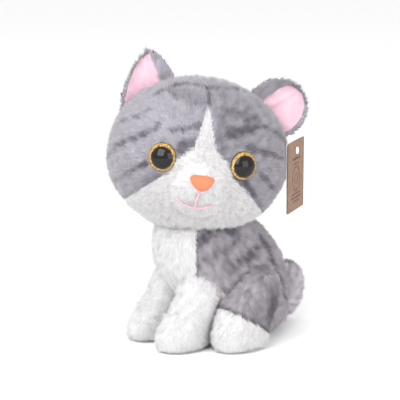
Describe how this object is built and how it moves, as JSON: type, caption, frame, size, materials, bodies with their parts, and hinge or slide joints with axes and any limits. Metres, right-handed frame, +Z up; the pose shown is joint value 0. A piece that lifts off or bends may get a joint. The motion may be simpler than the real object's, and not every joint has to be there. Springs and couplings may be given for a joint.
{
  "type": "plush cat",
  "caption": "Sitting plush cat with a large turned head, glitter eyes, pink-lined ears, striped grey and white plush, a curled tail and a folded card tag.",
  "frame": {"origin": "middle of the flat seat, on the surface that the cat sits on", "axes": "+Z up, -Y the way the body faces, +X the cat's left"},
  "size_m": [0.1075, 0.1409, 0.1905],
  "materials": {
    "grey_plush": "printed grey striped short-pile plush",
    "white_plush": "white short-pile plush",
    "pink_satin": "smooth pink satin",
    "orange_thread": "satin-stitched orange embroidery",
    "pink_thread": "pink embroidery thread",
    "fibre": "packed polyester fibre",
    "bag_cloth": "woven inner bag filled with pellets",
    "eye_plastic": "clear glossy dome over a black pupil",
    "iris_glitter": "gold glitter film",
    "washer_plastic": "moulded lock washer",
    "nylon": "translucent nylon",
    "card": "uncoated kraft card"
  },
  "bodies": {
    "body": {"chest_panel": "white_plush", "belly_panel": "white_plush", "flank_left_panel": "grey_plush", "flank_right_panel": "grey_plush", "body_stuffing": "fibre", "pellet_bag": "bag_cloth", "hind_leg_left_thigh": "grey_plush", "hind_leg_left_foot": "white_plush", "hind_leg_left_stuffing": "fibre", "hind_leg_right_thigh": "grey_plush", "hind_leg_right_foot": "white_plush", "hind_leg_right_stuffing": "fibre"},
    "neck": {"neck_stuffing": "fibre"},
    "head": {"face_white_panel": "white_plush", "face_left_panel": "grey_plush", "face_right_panel": "grey_plush", "head_back_left_panel": "grey_plush", "head_back_right_panel": "grey_plush", "muzzle_panel": "white_plush", "head_stuffing": "fibre", "nose_patch": "orange_thread", "mouth_stitching": "pink_thread", "tag_pin": "nylon", "eye_left_lens": "eye_plastic", "eye_left_iris_disc": "iris_glitter", "eye_left_lock_washer": "washer_plastic", "eye_right_lens": "eye_plastic", "eye_right_iris_disc": "iris_glitter", "eye_right_lock_washer": "washer_plastic"},
    "ear_left": {"ear_left_shell": "grey_plush", "ear_left_lining": "pink_satin"},
    "ear_right": {"ear_right_shell": "grey_plush", "ear_right_lining": "pink_satin"},
    "foreleg_left": {"foreleg_left_cover": "white_plush", "foreleg_left_stuffing": "fibre"},
    "foreleg_right": {"foreleg_right_cover": "white_plush", "foreleg_right_stuffing": "fibre"},
    "tail": {"tail_cover": "grey_plush", "tail_stuffing": "fibre"},
    "tag": {"tag_front_leaf": "card", "tag_back_leaf": "card"}
  },
  "joints": [
    {"name": "head_turn", "type": "hinge", "parent": "body", "child": "neck", "pos_m": [0, -0.036, 0.0855], "axis": [0, 0, 1], "range_deg": [-20, 20], "stiffness_Nm_per_rad": 0.4},
    {"name": "head_nod", "type": "hinge", "parent": "neck", "child": "head", "pos_m": [0, -0.036, 0.0855], "axis": [0.515, 0.8572, 0], "range_deg": [-6, 6], "stiffness_Nm_per_rad": 0.8},
    {"name": "ear_left_flex", "type": "hinge", "parent": "head", "child": "ear_left", "pos_m": [0.01887, 0.00731, 0.14661], "axis": [0.4824, 0.5822, -0.6544], "range_deg": [-12, 12], "stiffness_Nm_per_rad": 0.02},
    {"name": "ear_right_flex", "type": "hinge", "parent": "head", "child": "ear_right", "pos_m": [-0.02218, -0.05955, 0.15994], "axis": [-0.3513, -0.8105, -0.4687], "range_deg": [-12, 12], "stiffness_Nm_per_rad": 0.02},
    {"name": "foreleg_left_swing", "type": "hinge", "parent": "body", "child": "foreleg_left", "pos_m": [0.015, -0.048, 0.047], "axis": [1, 0, 0], "range_deg": [-7, 3], "stiffness_Nm_per_rad": 0.5},
    {"name": "foreleg_right_swing", "type": "hinge", "parent": "body", "child": "foreleg_right", "pos_m": [-0.015, -0.048, 0.047], "axis": [1, 0, 0], "range_deg": [-7, 3], "stiffness_Nm_per_rad": 0.5},
    {"name": "tail_wag", "type": "hinge", "parent": "body", "child": "tail", "pos_m": [0, 0.022, 0.012], "axis": [0, 0, 1], "range_deg": [-10, 10], "stiffness_Nm_per_rad": 0.05},
    {"name": "tag_swing", "type": "hinge", "parent": "head", "child": "tag", "pos_m": [0.0314, 0.02, 0.124], "axis": [0.8192, 0.5736, 0], "range_deg": [-25, 25]}
  ]
}
